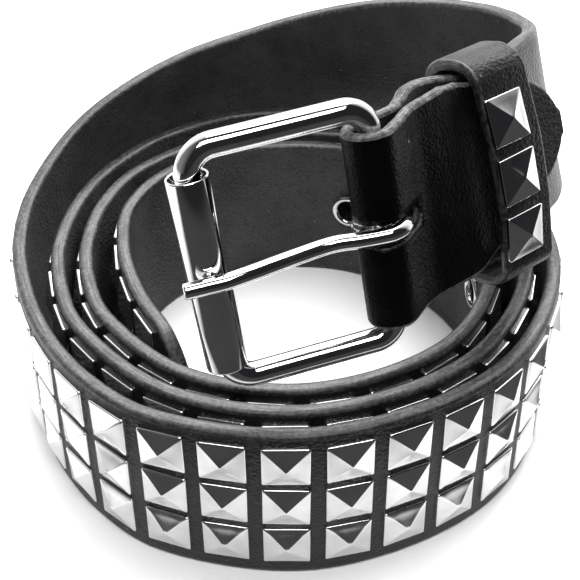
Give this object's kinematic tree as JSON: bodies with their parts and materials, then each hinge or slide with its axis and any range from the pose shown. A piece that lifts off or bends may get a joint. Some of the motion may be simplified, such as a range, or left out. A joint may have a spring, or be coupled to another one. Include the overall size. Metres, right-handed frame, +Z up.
{
  "type": "studded belt",
  "caption": "Leather belt with rows of pyramid studs, rolled up on its edge, with a roller buckle, studded keeper and eyelets.",
  "frame": {"origin": "middle of the bounding box in plan, on the surface that the rolled belt stands on", "axes": "+Z up, along the strap's width; -Y towards the side that the buckle faces; +X to the right seen from there"},
  "size_m": [0.1252, 0.1326, 0.0956],
  "materials": {
    "leather": "smooth black coated leather, satin, with matte grey-black cut edges",
    "stud_metal": "bright polished",
    "eyelet_metal": "bright polished",
    "buckle_metal": "mirror polished"
  },
  "bodies": {
    "belt": {"strap": "leather", "keeper": "leather", "keeper_stud_1": "stud_metal", "keeper_stud_2": "stud_metal", "keeper_stud_3": "stud_metal", "eyelet_1": "eyelet_metal", "eyelet_2": "eyelet_metal", "eyelet_3": "eyelet_metal", "eyelet_4": "eyelet_metal", "eyelet_5": "eyelet_metal"},
    "frame": {"buckle_frame": "buckle_metal"},
    "roller": {"roller": "buckle_metal"},
    "prong": {"prong": "buckle_metal"}
  },
  "joints": [
    {"name": "frame_swing", "type": "hinge", "parent": "belt", "child": "frame", "pos_m": [0.01687, -0.0459, 0.0719], "axis": [-0.1534, 0.1645, 0.9744], "range_deg": [-40, 70]},
    {"name": "roller_spin", "type": "hinge", "parent": "frame", "child": "roller", "pos_m": [-0.01376, -0.05453, 0.06853], "axis": [-0.1534, 0.1645, 0.9744], "continuous": true},
    {"name": "prong_swing", "type": "hinge", "parent": "frame", "child": "prong", "pos_m": [0.01687, -0.0459, 0.0719], "axis": [-0.1534, 0.1645, 0.9744], "range_deg": [0, 90]}
  ]
}
